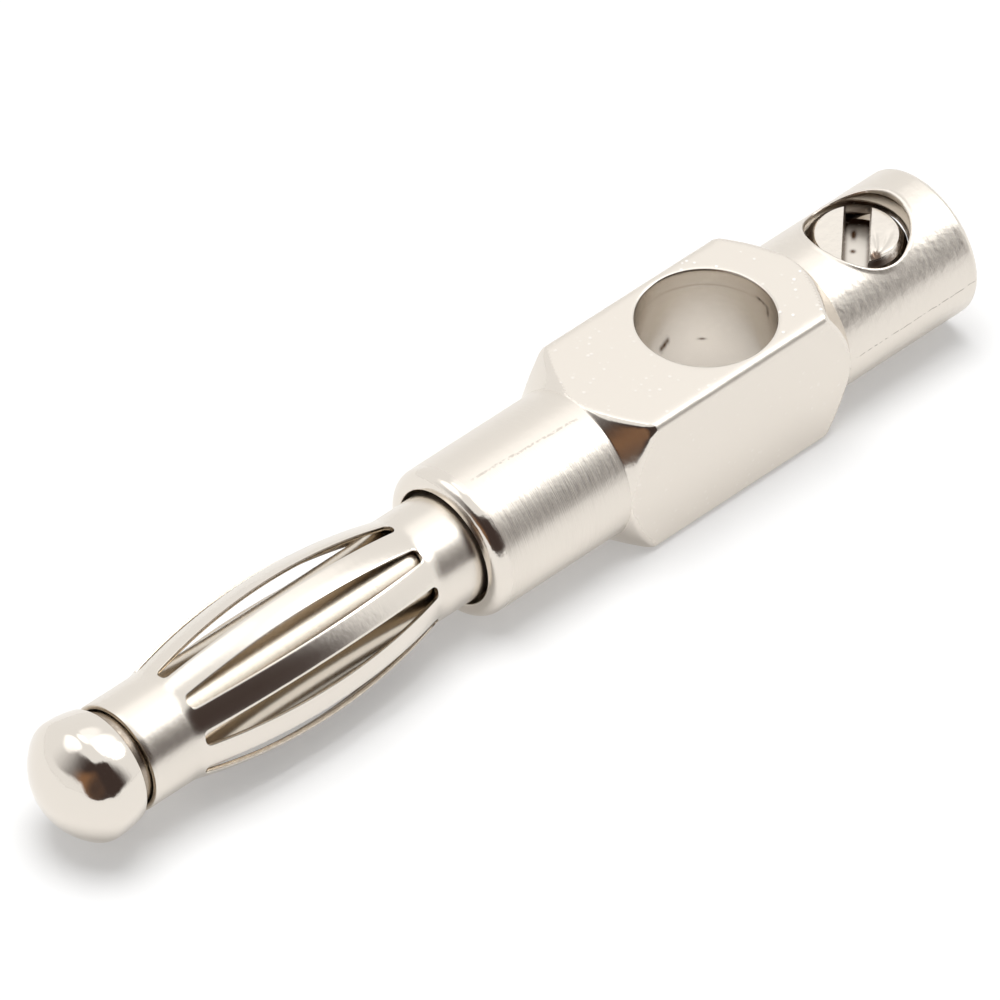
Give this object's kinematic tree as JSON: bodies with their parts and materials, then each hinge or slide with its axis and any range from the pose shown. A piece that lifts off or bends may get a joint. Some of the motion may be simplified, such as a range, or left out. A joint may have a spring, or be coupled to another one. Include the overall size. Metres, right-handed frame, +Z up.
{
  "type": "banana plug",
  "caption": "All-metal stackable banana plug: sprung lantern pin, round collar, square body with a cross hole for a second plug, and a slotted screw that clamps the wire in its tail.",
  "frame": {"origin": "on the plug's axis, at the front face of the collar, where the plug stops against a socket", "axes": "+X along the plug's axis from the tip to the wire entry, +Z up along the cross hole and the clamp screw"},
  "size_m": [0.0341, 0.0048, 0.0048],
  "materials": {
    "body_nickel": "nickel plated brass, satin flats with fine turning marks on the round ends",
    "pin_nickel": "nickel plated brass, bright",
    "spring_nickel": "nickel plated spring sheet, bright",
    "screw_nickel": "nickel plated brass, bright with a plain cut slot"
  },
  "bodies": {
    "body": {"plug_body": "body_nickel", "centre_pin": "pin_nickel"},
    "spring": {"lantern_spring": "spring_nickel"},
    "screw": {"clamp_screw": "screw_nickel"}
  },
  "joints": [
    {"name": "spring_turn", "type": "hinge", "parent": "body", "child": "spring", "pos_m": [0, 0, 0], "axis": [1, 0, 0], "continuous": true},
    {"name": "screw_travel", "type": "slide", "parent": "body", "child": "screw", "axis": [0, 0, -1], "range_m": [-0.0018, 0.0005]}
  ]
}
